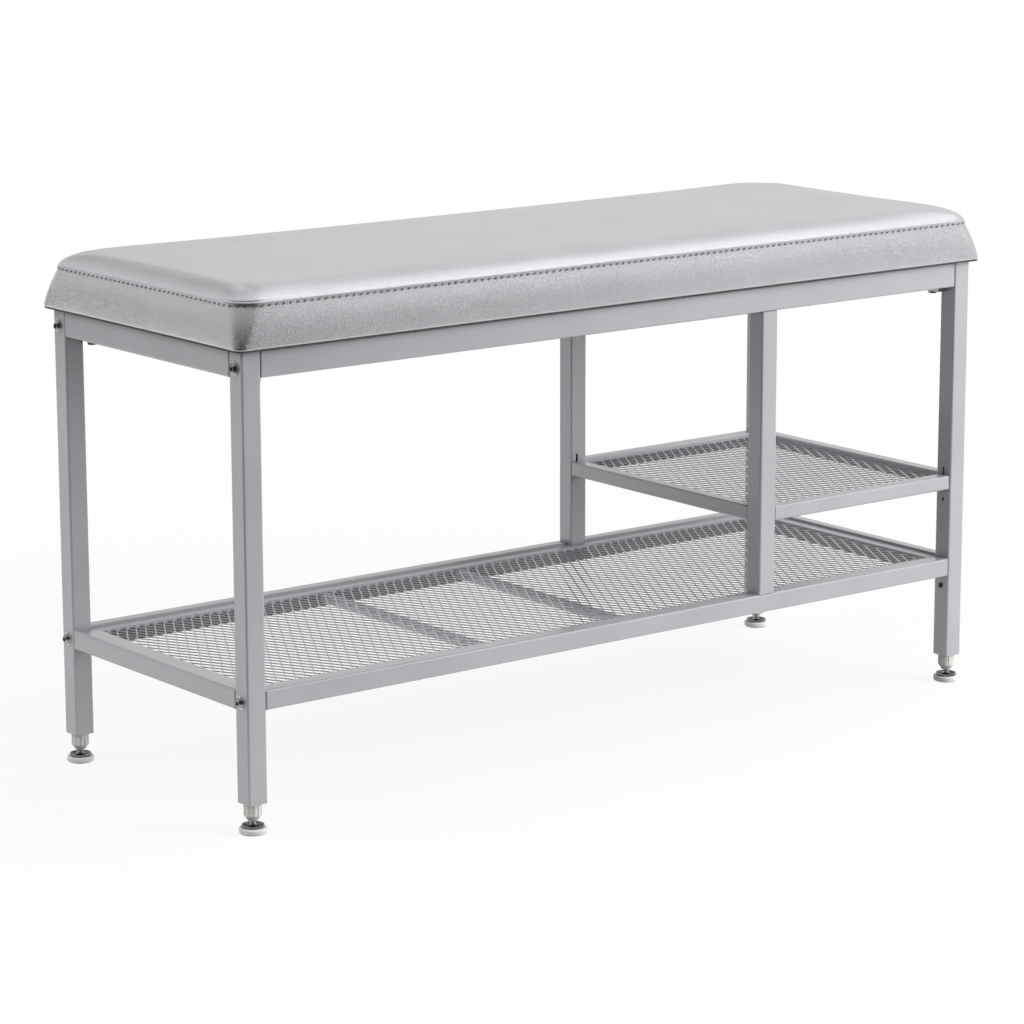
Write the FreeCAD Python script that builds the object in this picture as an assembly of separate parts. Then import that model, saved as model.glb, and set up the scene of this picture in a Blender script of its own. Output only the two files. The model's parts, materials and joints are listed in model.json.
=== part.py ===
import FreeCAD, Part
import math
import os

# Storage bench: a bolted frame of square steel tube, a wide mesh shelf low down,
# a short mesh shelf at half height on the right, a padded seat and four levelling feet.
# Millimetres. X runs along the bench to the right, Y to the back, Z up.
# The origin is on the floor, in the middle of the bench.

# Frame
frame_length = 880.0
frame_depth = 315.0
frame_top = 437.0
leg_width = 20.0
tube_wall = 1.2
tube_corner = 2.0
end_bevel_share = 0.8
upper_rail_height = 25.0
mid_post_left = 162.0

# Lower shelf: rails with a raised outer lip and a ledge inside it
shelf_rail_bottom = 113.5
shelf_rail_height = 18.0
shelf_rail_width = 26.0
shelf_lip_long = 13.0
shelf_lip_right = 12.0
shelf_lip_left = 4.0
shelf_ledge_drop = 2.5
shelf_edge_radius = 2.2
shelf_net_drop = 1.5
cross_bar_width = 12.0
cross_bar_height = 8.0
cross_bar_left_x = -155.0
cross_bar_right_x = 12.0

# Middle shelf
mid_rail_bottom = 203.5
mid_rail_height = 14.5
mid_rail_width = 15.0
mid_rail_setback = 1.0
mid_net_drop = 4.0

# Mesh of both shelves: expanded metal with diamond gaps
net_thickness = 1.5
net_border = 6.0
net_strand = 4.0
net_cell_length = 30.0
net_cell_depth = 62.0

# Hooks that hang the middle shelf in slots of the posts and legs
hook_thickness = 2.0
hook_length = 14.0
hook_nose = 2.0
hook_drop = 4.0
hook_clearance = 0.2
slot_above_rail = 8.0
spare_slot_bottom = 190.0
spare_slot_height = 4.0

# Seat
seat_overhang = 9.0
seat_base_corner = 19.0
seat_seam_corner = 26.0
seat_side_draw = 1.0
seat_base_radius = 4.0
seat_side_flare = 6.0
seat_band_height = 43.0
seam_depth = 1.2
seam_width = 1.6
seat_edge_reach = 20.0
seat_edge_rise = 9.0
seat_edge_start = math.radians(35)
crown_height = 2.0
crown_fall = 1.9
cover_thickness = 2.0
cover_clearance = 0.3
board_thickness = 12.0
board_clearance = 0.5
base_cloth_thickness = 0.8
base_cloth_margin = 8.0
least_corner_radius = 6.0
round_steps = 3

# Tabs and screws that hold the seat
seat_tab_leg_gap = 1.0
seat_tab_width = 8.0
seat_tab_thickness = 6.0
seat_tab_reach = 14.0
seat_tab_setback = 14.0
seat_screw_radius = 2.5
seat_screw_bite = 9.0
seat_screw_head_radius = 4.5
seat_screw_head_height = 2.5

# Frame bolts, washers and nuts
bolt_radius = 3.0
bolt_head_radius = 5.25
bolt_head_height = 3.3
bolt_head_face_radius = 2.9
bolt_socket_width = 4.0
bolt_socket_depth = 2.0
upper_bolt_rise = 9.5
lower_bolt_rise = 8.0
bolt_hole_clearance = 0.2
bolt_end_spare = 2.0
washer_radius = 6.0
washer_thickness = 1.2
nut_length = 12.0
nut_clearance = 0.2
thread_clearance = 0.05
access_hole_spare = 0.8
post_bolt_bite = 10.0

# Plugs
top_plug_height = 9.0
top_plug_wall = 2.4
plug_clearance = 0.2
hole_plug_width = 2.0
hole_plug_height = 4.4
hole_plug_stand = 2.4
hole_plug_depth = 3.0
hole_plug_below_lower_rail = 11.5
hole_plug_below_upper_rail = 9.0

# Levelling feet, from the floor up
pad_radius = 12.75
pad_height = 5.6
pad_base_ease = 1.2
pad_top_ease = 1.0
socket_depth = 3.2
dish_radius = 10.25
dish_height = 2.4
dish_floor = 1.0
dish_rim_width = 1.4
dish_hub_width = 10.0
stem_radius = 3.0
stem_clearance = 0.3
stem_gap = 4.0
stem_above_shank = 8.0
stem_chamfer = 0.8
cone_height = 5.0
cone_tip_radius = 4.6
collar_radius = 8.3
collar_height = 11.0
flute_count = 12
flute_width = 1.6
flute_depth = 0.6
shank_height = 24.0
shank_core_drop = 1.0
shank_rib_count = 4
shank_rib_height = 2.0

# Levels and faces that follow from the sizes above
half_length = frame_length / 2
half_depth = frame_depth / 2
leg_x = half_length - leg_width / 2
leg_y = half_depth - leg_width / 2
leg_inner_x = half_length - leg_width
leg_inner_y = half_depth - leg_width
leg_hollow = leg_width - 2 * tube_wall
end_bevel = end_bevel_share * tube_wall
dish_top = pad_height + dish_height
cone_bottom = dish_top + stem_gap
collar_bottom = cone_bottom + cone_height
leg_bottom = collar_bottom + collar_height
upper_rail_bottom = frame_top - upper_rail_height
shelf_rail_top = shelf_rail_bottom + shelf_rail_height
shelf_ledge = shelf_rail_top - shelf_ledge_drop
shelf_net_top = shelf_ledge - shelf_net_drop
shelf_net_bottom = shelf_net_top - net_thickness
mid_post_right = mid_post_left + leg_width
mid_post_x = mid_post_left + leg_width / 2
mid_rail_top = mid_rail_bottom + mid_rail_height
mid_net_top = mid_rail_top - mid_net_drop
mid_net_bottom = mid_net_top - net_thickness
upper_bolt_z = upper_rail_bottom + upper_bolt_rise
lower_bolt_z = shelf_rail_bottom + lower_bolt_rise
bolt_hole_radius = bolt_radius + bolt_hole_clearance
board_bottom = frame_top + base_cloth_thickness
board_top = board_bottom + board_thickness
seat_half_length = half_length + seat_overhang
seat_half_depth = half_depth + seat_overhang
slot_width = hook_thickness + 2 * hook_clearance
hook_bottom = mid_rail_bottom + tube_wall + hook_clearance
hook_top = mid_rail_top - tube_wall - hook_clearance
hook_slot = (hook_bottom - hook_clearance, mid_rail_top + slot_above_rail)
spare_slot = (spare_slot_bottom, spare_slot_bottom + spare_slot_height)
lower_plug_z = shelf_rail_bottom - hole_plug_below_lower_rail
upper_plug_z = upper_rail_bottom - hole_plug_below_upper_rail
seat_tab_x = leg_inner_x - seat_tab_leg_gap - seat_tab_width / 2
access_hole_radius = bolt_head_radius + access_hole_spare
seat_screw_tip = board_bottom + seat_screw_bite

# Distance below which two points count as one
same_place = 0.000001

sides = {"left": -1, "right": 1}
faces = {"front": -1, "back": 1}


def place(axis, along, across, up):
    """Point from a distance along an axis and the two other coordinates in XYZ order."""
    if axis == "x":
        return FreeCAD.Vector(along, across, up)
    if axis == "y":
        return FreeCAD.Vector(across, along, up)
    return FreeCAD.Vector(across, up, along)


def box(x_range, y_range, z_range):
    """Block between two values on each axis, given in either order."""
    lows = [min(pair) for pair in (x_range, y_range, z_range)]
    highs = [max(pair) for pair in (x_range, y_range, z_range)]
    spans = [high - low for low, high in zip(lows, highs)]
    return Part.makeBox(spans[0], spans[1], spans[2], FreeCAD.Vector(*lows))


def rounded_wire(corners, radii):
    """Closed outline through the corners, each rounded to its radius, 0 for a sharp one."""
    arcs = []
    stops = []
    count = len(corners)
    for index in range(count):
        corner = corners[index]
        back = (corners[index - 1] - corner).normalize()
        ahead = (corners[(index + 1) % count] - corner).normalize()
        radius = radii[index]
        if radius == 0:
            stops.append((corner, corner))
            continue
        half_angle = math.acos(back.dot(ahead)) / 2
        reach = radius / math.tan(half_angle)
        inward = (back + ahead).normalize()
        middle = corner + inward * (radius / math.sin(half_angle) - radius)
        start = corner + back * reach
        end = corner + ahead * reach
        arcs.append((index, Part.Arc(start, middle, end).toShape()))
        stops.append((start, end))
    rounded = dict(arcs)
    edges = []
    for index in range(count):
        if index in rounded:
            edges.append(rounded[index])
        end = stops[index][1]
        start = stops[(index + 1) % count][0]
        if end.distanceToPoint(start) > same_place:
            edges.append(Part.LineSegment(end, start).toShape())
    return Part.Wire(edges)


def bar(axis, span, outline, radii):
    """Solid of one rounded outline, drawn out along an axis from span[0] to span[1]."""
    corners = [place(axis, span[0], across, up) for across, up in outline]
    face = Part.Face(rounded_wire(corners, radii))
    return face.extrude(place(axis, span[1] - span[0], 0, 0))


def rectangle(across_range, up_range):
    """Corner pairs of a rectangle."""
    return [
        (across_range[0], up_range[0]),
        (across_range[1], up_range[0]),
        (across_range[1], up_range[1]),
        (across_range[0], up_range[1]),
    ]


def rounded_bar(axis, span, across_range, up_range, radius):
    """Bar of rectangular section with four equal rounded edges."""
    return bar(axis, span, rectangle(across_range, up_range), [radius] * 4)


def bevelled(shape, axis, ends):
    """Bar with the outer edges bevelled round the ends that are given as values along its axis."""
    rims = []
    for edge in shape.Edges:
        stops = [getattr(vertex, axis.upper()) for vertex in edge.Vertexes]
        for end in ends:
            if max(abs(stop - end) for stop in stops) < same_place:
                rims.append(edge)
    return shape.makeChamfer(end_bevel, rims)


def tube(axis, span, across_range, up_range, bevelled_ends=()):
    """Square or flat tube: a rounded bar with its hollow taken out and chosen ends bevelled."""
    hollow_across = (across_range[0] + tube_wall, across_range[1] - tube_wall)
    hollow_up = (up_range[0] + tube_wall, up_range[1] - tube_wall)
    outside = rounded_bar(axis, span, across_range, up_range, tube_corner)
    if bevelled_ends:
        outside = bevelled(outside, axis, bevelled_ends)
    return outside.cut(bar(axis, span, rectangle(hollow_across, hollow_up), [0] * 4))


def rod(axis, span, across, up, radius):
    """Round bar along an axis."""
    start = place(axis, span[0], across, up)
    return Part.makeCylinder(radius, abs(span[1] - span[0]), start, place(axis, span[1] - span[0], 0, 0))


def turned(outline):
    """Solid of revolution about Z from corner pairs of radius and height."""
    corners = [FreeCAD.Vector(radius, 0, height) for radius, height in outline]
    face = Part.Face(Part.makePolygon(corners + corners[:1]))
    return face.revolve(FreeCAD.Vector(0, 0, 0), FreeCAD.Vector(0, 0, 1), 360)


def hexagon(width, low, high):
    """Upright hexagonal bar of the given width across its flats."""
    radius = width / math.sqrt(3)
    angles = [math.pi / 3 * step for step in range(6)]
    corners = [FreeCAD.Vector(radius * math.cos(a), radius * math.sin(a), low) for a in angles]
    face = Part.Face(Part.makePolygon(corners + corners[:1]))
    return face.extrude(FreeCAD.Vector(0, 0, high - low))


def moved(shape, x, y, z):
    """Copy of a shape, shifted."""
    copy = shape.copy()
    copy.translate(FreeCAD.Vector(x, y, z))
    return copy


def span_about(centre, width):
    """Low and high value of a width about its centre."""
    return (centre - width / 2, centre + width / 2)


def plug_levels(face):
    """Heights of a leg's small plugs: under the lower rail, and at the back under the upper one too."""
    if face == faces["back"]:
        return (lower_plug_z, upper_plug_z)
    return (lower_plug_z,)


def leg_plug(wall, side, y, height, spare):
    """Oblong plug through a leg's inner wall, or with some spare all round, the slot for it."""
    along = (wall - side * hole_plug_stand, wall + side * hole_plug_depth)
    across = span_about(y, hole_plug_width + 2 * spare)
    up = span_about(height, hole_plug_height + 2 * spare)
    return box(along, across, up)


def leg(side, face):
    """Upright tube with its bolt holes, plug holes and, on the right, shelf slots."""
    x = side * leg_x
    y = face * leg_y
    inner_x = side * leg_inner_x
    shape = tube("z", (leg_bottom, frame_top), span_about(x, leg_width), span_about(y, leg_width))
    for height in (upper_bolt_z, lower_bolt_z):
        shape = shape.cut(rod("x", span_about(x, 2 * leg_width), y, height, bolt_hole_radius))
    for height in plug_levels(face):
        shape = shape.cut(leg_plug(inner_x, side, y, height, plug_clearance))
    if side > 0:
        shape = shape.cut(shelf_slot("x", inner_x, y, hook_slot))
        shape = shape.cut(shelf_slot("x", inner_x, y, spare_slot))
    return shape


def shelf_slot(axis, wall, across, up_range):
    """Upright slot through a tube wall, for a shelf hook or left spare."""
    section = rectangle(span_about(across, slot_width), up_range)
    return bar(axis, span_about(wall, leg_width), section, [0] * 4)


def upper_rail_long(face):
    """Front or back top rail, with the holes for the mid post's bolt."""
    y = face * leg_y
    span = (-leg_inner_x, leg_inner_x)
    shape = tube("x", span, span_about(y, leg_width), (upper_rail_bottom, frame_top), span)
    middle = upper_rail_bottom + upper_rail_height / 2
    shape = shape.cut(rod("z", (upper_rail_bottom - tube_wall, middle), mid_post_x, y, bolt_hole_radius))
    return shape.cut(rod("z", (middle, frame_top + tube_wall), mid_post_x, y, access_hole_radius))


def upper_rail_short(side):
    """Top rail of an end frame."""
    across = span_about(side * leg_x, leg_width)
    span = (-leg_inner_y, leg_inner_y)
    return tube("y", span, across, (upper_rail_bottom, frame_top), span)


def ledge_section(outer, inward, lip, inset):
    """Outline of a shelf rail: outer wall, raised lip, ledge and inner wall, inset by a wall."""
    near = outer + inward * inset
    far = outer + inward * (shelf_rail_width - inset)
    step = outer + inward * (lip - inset)
    low = shelf_rail_bottom + inset
    return [
        (near, low),
        (far, low),
        (far, shelf_ledge - inset),
        (step, shelf_ledge - inset),
        (step, shelf_rail_top - inset),
        (near, shelf_rail_top - inset),
    ]


def shelf_rail(axis, half_span, outer, inward, lip):
    """Hollow shelf rail with its lip and ledge."""
    small = tube_wall / 2
    radii = [shelf_edge_radius / 2, small, small, 0, small, shelf_edge_radius]
    span = (-half_span, half_span)
    outside = bar(axis, span, ledge_section(outer, inward, lip, 0), radii)
    for side in sides.values():
        outside = outside.cut(end_wedge(axis, side * half_span, side, outer, inward))
    return outside.cut(bar(axis, span, ledge_section(outer, inward, lip, tube_wall), [0] * 6))


def end_wedge(axis, end, side, outer, inward):
    """Wedge that bevels the upright outer edge at one end of a shelf rail."""
    corners = [(end, outer), (end - side * end_bevel, outer), (end, outer + inward * end_bevel)]
    if axis == "y":
        corners = [(across, along) for along, across in corners]
    return bar("z", (shelf_rail_bottom, shelf_rail_top), corners, [0] * 3)


def shelf_rail_long(face):
    """Front or back rail of the lower shelf, with the hole for the mid post's bolt."""
    shape = shelf_rail("x", leg_inner_x, face * half_depth, -face, shelf_lip_long)
    through = (shelf_rail_bottom - tube_wall, shelf_rail_top + tube_wall)
    return shape.cut(rod("z", through, mid_post_x, face * leg_y, bolt_hole_radius))


def shelf_rail_short(side, lip):
    """End rail of the lower shelf, notched where the long rails pass its ends."""
    shape = shelf_rail("y", leg_inner_y, side * half_length, -side, lip)
    inner = half_length - shelf_rail_width
    for face in faces.values():
        notch_y = (face * (half_depth - shelf_rail_width), face * half_depth)
        notch = box((side * inner, side * leg_inner_x), notch_y, (shelf_rail_bottom, shelf_rail_top))
        shape = shape.cut(notch)
    return shape


def cross_bar(x):
    """Bar under the lower mesh, from rail to rail."""
    reach = half_depth - shelf_rail_width
    up = (shelf_net_bottom - cross_bar_height, shelf_net_bottom)
    return tube("y", (-reach, reach), span_about(x, cross_bar_width), up)


def diamond(x, y, half_x, half_y, x_range, y_range, z):
    """Diamond gap about a point, cut off at the mesh's border."""
    corners = []
    for step_x, step_y in ((half_x, 0), (0, half_y), (-half_x, 0), (0, -half_y)):
        held_x = min(max(x + step_x, x_range[0]), x_range[1])
        held_y = min(max(y + step_y, y_range[0]), y_range[1])
        outside = (held_x, held_y) != (x + step_x, y + step_y)
        if not outside:
            corners.append(FreeCAD.Vector(held_x, held_y, z))
    return Part.makePolygon(corners + corners[:1])


def net(x_range, y_range, bottom):
    """Expanded mesh: one face with staggered diamond gaps inside a plain border."""
    gap_x = (x_range[0] + net_border, x_range[1] - net_border)
    gap_y = (y_range[0] + net_border, y_range[1] - net_border)
    columns = round((gap_x[1] - gap_x[0]) / net_cell_length)
    rows = round((gap_y[1] - gap_y[0]) / net_cell_depth)
    pitch_x = (gap_x[1] - gap_x[0]) / columns
    pitch_y = (gap_y[1] - gap_y[0]) / rows
    slant = math.hypot(pitch_x, pitch_y)
    half_x = pitch_x / 2 - net_strand * slant / pitch_y / 2
    half_y = pitch_y / 2 - net_strand * slant / pitch_x / 2
    edge = [FreeCAD.Vector(x, y, bottom) for x, y in rectangle(x_range, y_range)]
    wires = [Part.makePolygon(edge + edge[:1])]
    for column in range(2 * columns + 1):
        for row in range(2 * rows + 1):
            if (column + row) % 2 == 0:
                x = gap_x[0] + column * pitch_x / 2
                y = gap_y[0] + row * pitch_y / 2
                at_corner = column in (0, 2 * columns) and row in (0, 2 * rows)
                if not at_corner:
                    wires.append(diamond(x, y, half_x, half_y, gap_x, gap_y, bottom))
    sheet = Part.makeFace(wires, "Part::FaceMakerCheese")
    return sheet.extrude(FreeCAD.Vector(0, 0, net_thickness))


def lower_net():
    """Mesh of the lower shelf, edge to edge between its rails."""
    reach_x = half_length - shelf_rail_width
    reach_y = half_depth - shelf_rail_width
    return net((-reach_x, reach_x), (-reach_y, reach_y), shelf_net_bottom)


def mid_post(face):
    """Upright that carries the left end of the middle shelf, seated on lip and ledge."""
    y = face * leg_y
    lip_edge = face * (half_depth - shelf_lip_long)
    across = span_about(mid_post_x, leg_width)
    up = (shelf_ledge, upper_rail_bottom)
    shape = tube("z", up, across, span_about(y, leg_width), up[1:])
    x_range = span_about(mid_post_x, 2 * leg_width)
    shape = shape.cut(box(x_range, (face * half_depth, lip_edge), (shelf_ledge, shelf_rail_top)))
    return shape.cut(shelf_slot("y", face * leg_inner_y, mid_post_left + mid_rail_width / 2, hook_slot))


def mid_rail_long(face):
    """Front or back rail of the middle shelf, from post to leg."""
    outer = face * (half_depth - mid_rail_setback)
    inner = outer - face * mid_rail_width
    across = (min(outer, inner), max(outer, inner))
    span = (mid_post_right, leg_inner_x)
    return tube("x", span, across, (mid_rail_bottom, mid_rail_top), span)


def mid_rail_short(outer, inward):
    """Left or right rail of the middle shelf, between two uprights."""
    inner = outer + inward * mid_rail_width
    across = (min(outer, inner), max(outer, inner))
    span = (-leg_inner_y, leg_inner_y)
    return tube("y", span, across, (mid_rail_bottom, mid_rail_top), span)


def mid_net():
    """Mesh of the middle shelf, notched round the posts and legs."""
    x_range = (mid_post_left + mid_rail_width, half_length - mid_rail_width)
    reach_y = half_depth - mid_rail_setback - mid_rail_width
    shape = net(x_range, (-reach_y, reach_y), mid_net_bottom)
    up = (mid_net_bottom, mid_net_top)
    for face in faces.values():
        upright_y = (face * leg_inner_y, face * half_depth)
        shape = shape.cut(box((mid_post_left, mid_post_right), upright_y, up))
        shape = shape.cut(box((leg_inner_x, half_length), upright_y, up))
    return shape


def shelf_hook(axis, wall, outward, across):
    """Plate in a rail's end that passes a slot and turns down behind the tube wall."""
    start = wall - outward * hook_length
    behind = wall + outward * (tube_wall + hook_clearance)
    end = behind + outward * hook_nose
    section = rectangle(span_about(across, hook_thickness), (hook_bottom, hook_top))
    nose = rectangle(span_about(across, hook_thickness), (hook_bottom - hook_drop, hook_top))
    plate = bar(axis, (start, behind), section, [0] * 4)
    return plate.fuse(bar(axis, (behind, end), nose, [0] * 4)).removeSplitter()


def shelf_hooks():
    """Two hooks in the right legs and two in the posts."""
    left_rail_x = mid_post_left + mid_rail_width / 2
    hooks = []
    for face in faces.values():
        hooks.append(shelf_hook("x", leg_inner_x, 1, face * leg_y))
        hooks.append(shelf_hook("y", face * leg_inner_y, face, left_rail_x))
    return hooks


def seat_corner(height, inset):
    """Radius of the seat's corners in plan, from the tight base to the rounder seam, less an inset."""
    share = min((height - frame_top) / seat_band_height, 1)
    radius = seat_base_corner + (seat_seam_corner - seat_base_corner) * share
    return max(radius - inset, least_corner_radius)


def seat_outline(outset, height, draw, radius):
    """Rounded rectangle of the seat at one height, its sides drawn in between the corners."""
    reach_x = seat_half_length + outset
    reach_y = seat_half_depth + outset
    bend = radius * (1 - math.sqrt(0.5))
    edges = []
    flat_x = reach_x - radius
    flat_y = reach_y - radius

    def point(x, y):
        return FreeCAD.Vector(x, y, height)

    def side(start, middle, end):
        if draw == 0:
            return Part.LineSegment(start, end).toShape()
        return Part.Arc(start, middle, end).toShape()

    sign_pairs = ((1, -1), (1, 1), (-1, 1), (-1, -1))
    for index, (sign_x, sign_y) in enumerate(sign_pairs):
        on_x = point(sign_x * reach_x, sign_y * flat_y)
        on_y = point(sign_x * flat_x, sign_y * reach_y)
        turn = point(sign_x * (reach_x - bend), sign_y * (reach_y - bend))
        if index % 2 == 0:
            edges.append(Part.Arc(on_y, turn, on_x).toShape())
            side_middle = point(sign_x * (reach_x - draw), 0)
            edges.append(side(on_x, side_middle, point(on_x.x, -on_x.y)))
        else:
            edges.append(Part.Arc(on_x, turn, on_y).toShape())
            side_middle = point(0, sign_y * (reach_y - draw))
            edges.append(side(on_y, side_middle, point(-on_y.x, on_y.y)))
    return Part.Wire(edges)


def seat_levels(steps):
    """Outset and height of the seat's edge from the tucked base to its flat top."""
    seam = frame_top + seat_band_height
    edge_start = seam + seam_width / 2
    levels = []
    for step in range(steps + 1):
        angle = math.pi / 2 * step / steps
        outset = seat_base_radius * (math.sin(angle) - 1)
        levels.append((outset, frame_top + seat_base_radius * (1 - math.cos(angle))))
    levels.append((-seat_side_flare, seam - seam_width / 2))
    levels.append((-seat_side_flare - seam_depth, seam))
    for step in range(steps + 1):
        angle = seat_edge_start + (math.pi / 2 - seat_edge_start) * step / steps
        inward = seat_edge_reach * (1 - math.cos(angle) / math.cos(seat_edge_start))
        low_sine = math.sin(seat_edge_start)
        up = seat_edge_rise * (math.sin(angle) - low_sine) / (1 - low_sine)
        levels.append((-seat_side_flare - inward, edge_start + up))
    return levels


def crown_slice(x, height):
    """Cross-section of the crown at one place along the seat: an arch on a plain block."""
    top = height + crown_height - crown_fall * (x / seat_half_length) ** 2
    left = FreeCAD.Vector(x, -seat_half_depth, top - crown_fall)
    middle = FreeCAD.Vector(x, 0, top)
    right = FreeCAD.Vector(x, seat_half_depth, top - crown_fall)
    right_foot = FreeCAD.Vector(x, seat_half_depth, frame_top - crown_height)
    left_foot = FreeCAD.Vector(x, -seat_half_depth, frame_top - crown_height)
    edges = [Part.Arc(left, middle, right).toShape()]
    for start, end in ((right, right_foot), (right_foot, left_foot), (left_foot, left)):
        edges.append(Part.LineSegment(start, end).toShape())
    return Part.Wire(edges)


def seat_form():
    """Closed outer form of the seat: a lofted edge with its seam groove, under a lofted crown."""
    levels = seat_levels(round_steps)
    outset, height = levels[-1]
    above = [(outset, height + crown_height)]
    wires = []
    for reach, up in levels + above:
        wires.append(seat_outline(reach, up, seat_side_draw, seat_corner(up, 0)))
    slices = [crown_slice(seat_half_length * share, height) for share in (-1, -0.5, 0, 0.5, 1)]
    return Part.makeLoft(wires, True, True).common(Part.makeLoft(slices, True, False))


def seat_inside(inset):
    """Plain form inside the seat's cover, clear of it by an inset on sides and top."""
    reach = inset + seat_side_draw
    levels = seat_levels(1)
    base = levels[:2]
    edge = [(outset, height - inset) for outset, height in levels[-2:]]
    wires = []
    for outset, height in base + edge:
        wires.append(seat_outline(outset - reach, height, 0, seat_corner(height, reach)))
    return Part.makeLoft(wires, True, True)


def below_seat(level):
    """Everything under a level, for cutting a seat form off flat."""
    reach_x = (-2 * seat_half_length, 2 * seat_half_length)
    reach_y = (-2 * seat_half_depth, 2 * seat_half_depth)
    return box(reach_x, reach_y, (0, level))


def seat_cover():
    """Sewn cover with its seam groove, open underneath."""
    return seat_form().cut(seat_inside(cover_thickness))


def seat_foam():
    """Foam block between the cover and the board."""
    return seat_inside(cover_thickness + cover_clearance).cut(below_seat(board_top))


def seat_panel(inset, bottom, thickness):
    """Flat panel that fits inside the cover's lower opening."""
    reach = seat_base_radius + cover_thickness + board_clearance + inset
    x_range = (-seat_half_length + reach, seat_half_length - reach)
    y_range = (-seat_half_depth + reach, seat_half_depth - reach)
    radius = seat_corner(bottom, cover_thickness + seat_side_draw)
    return rounded_bar("z", (bottom, bottom + thickness), x_range, y_range, radius)


def seat_screw_places():
    """X and Y of the four seat screws, just inside the long upper rails."""
    reach = leg_inner_y - seat_tab_reach / 2
    return [(side * seat_tab_x, face * reach) for side in sides.values() for face in faces.values()]


def with_screw_holes(shape, radius):
    """Shape with a hole at each seat screw, to the depth the screws reach."""
    low = upper_rail_bottom - 2 * seat_tab_thickness
    for x, y in seat_screw_places():
        shape = shape.cut(rod("z", (low, seat_screw_tip), x, y, radius))
    return shape


def seat_tabs():
    """Plates under the long upper rails that the seat screws pull up."""
    tabs = []
    for side in sides.values():
        for face in faces.values():
            outer = face * (half_depth - seat_tab_setback)
            inner = face * (leg_inner_y - seat_tab_reach)
            y_range = (min(outer, inner), max(outer, inner))
            up = (upper_rail_bottom - seat_tab_thickness, upper_rail_bottom)
            x_range = span_about(side * seat_tab_x, seat_tab_width)
            plate = box(x_range, y_range, up)
            tabs.append(with_screw_holes(plate, seat_screw_radius + bolt_hole_clearance))
    return tabs


def seat_screws():
    """Long screws from the tabs up into the board."""
    tab_bottom = upper_rail_bottom - seat_tab_thickness
    screws = []
    for x, y in seat_screw_places():
        shank = rod("z", (tab_bottom, seat_screw_tip), x, y, seat_screw_radius)
        head = rod("z", (tab_bottom - seat_screw_head_height, tab_bottom), x, y, seat_screw_head_radius)
        screws.append(shank.fuse(head))
    return screws


def button_bolt(length):
    """Button-head bolt along Z, its head standing on the plane at 0 and its shank below."""
    head = turned([
        (0, 0),
        (bolt_head_radius, 0),
        (bolt_head_radius, bolt_head_height / 3),
        (bolt_head_face_radius, bolt_head_height),
        (0, bolt_head_height),
    ])
    head = head.cut(hexagon(bolt_socket_width, bolt_head_height - bolt_socket_depth, bolt_head_height))
    return head.fuse(rod("z", (0, -length), 0, 0, bolt_radius)).removeSplitter()


def facing_x(shape, side):
    """Copy of an upright shape, laid so that its top points along X, left or right."""
    copy = shape.copy()
    copy.rotate(FreeCAD.Vector(0, 0, 0), FreeCAD.Vector(0, 1, 0), side * 90)
    return copy


def at_frame_bolts(shape, outset):
    """Copies of an upright shape at the eight frame bolts, moved out from the legs' faces."""
    copies = []
    for side in sides.values():
        laid = facing_x(shape, side)
        for face in faces.values():
            for height in (upper_bolt_z, lower_bolt_z):
                copies.append(moved(laid, side * (half_length + outset), face * leg_y, height))
    return copies


def frame_bolts():
    """Bolts through the legs into the nuts of the long rails."""
    length = washer_thickness + leg_width + nut_length + bolt_end_spare
    return at_frame_bolts(button_bolt(length), washer_thickness)


def frame_washers():
    """Plain washers under the bolt heads."""
    ring = rod("z", (0, washer_thickness), 0, 0, washer_radius)
    return at_frame_bolts(ring.cut(rod("z", (0, washer_thickness), 0, 0, bolt_hole_radius)), 0)


def rail_nuts():
    """Threaded blocks fixed in the ends of the long rails."""
    thread = bolt_radius + thread_clearance
    blocks = []
    gap = tube_wall + nut_clearance
    for side in sides.values():
        span = (side * leg_inner_x, side * (leg_inner_x - nut_length))
        for face in faces.values():
            outer = face * (half_depth - gap)
            upper_inner = face * (leg_inner_y + gap)
            lower_inner = face * (half_depth - shelf_rail_width + gap)
            for inner, low, high, height in (
                (upper_inner, upper_rail_bottom + gap, frame_top - gap, upper_bolt_z),
                (lower_inner, shelf_rail_bottom + gap, shelf_ledge - gap, lower_bolt_z),
            ):
                block = box(span, (outer, inner), (low, high))
                through = span_about(span[0], 4 * nut_length)
                blocks.append(block.cut(rod("x", through, face * leg_y, height, thread)))
    return blocks


def post_bolts():
    """Bolts into both ends of the mid posts, from inside the upper rails and up through the lower ones."""
    upper = button_bolt(tube_wall + post_bolt_bite)
    lower = button_bolt(shelf_rail_height + post_bolt_bite)
    lower.rotate(FreeCAD.Vector(0, 0, 0), FreeCAD.Vector(1, 0, 0), 180)
    bolts = []
    for face in faces.values():
        bolts.append(moved(upper, mid_post_x, face * leg_y, upper_rail_bottom + tube_wall))
        bolts.append(moved(lower, mid_post_x, face * leg_y, shelf_rail_bottom))
    return bolts


def post_nuts():
    """Threaded blocks fixed in both ends of the mid posts."""
    width = leg_hollow - 2 * nut_clearance
    thread = bolt_radius + thread_clearance
    blocks = []
    for face in faces.values():
        y = face * leg_y
        for low in (shelf_rail_top, upper_rail_bottom - nut_length):
            block = box(span_about(mid_post_x, width), span_about(y, width), (low, low + nut_length))
            through = (low - nut_length, low + 2 * nut_length)
            blocks.append(block.cut(rod("z", through, mid_post_x, y, thread)))
    return blocks


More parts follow.
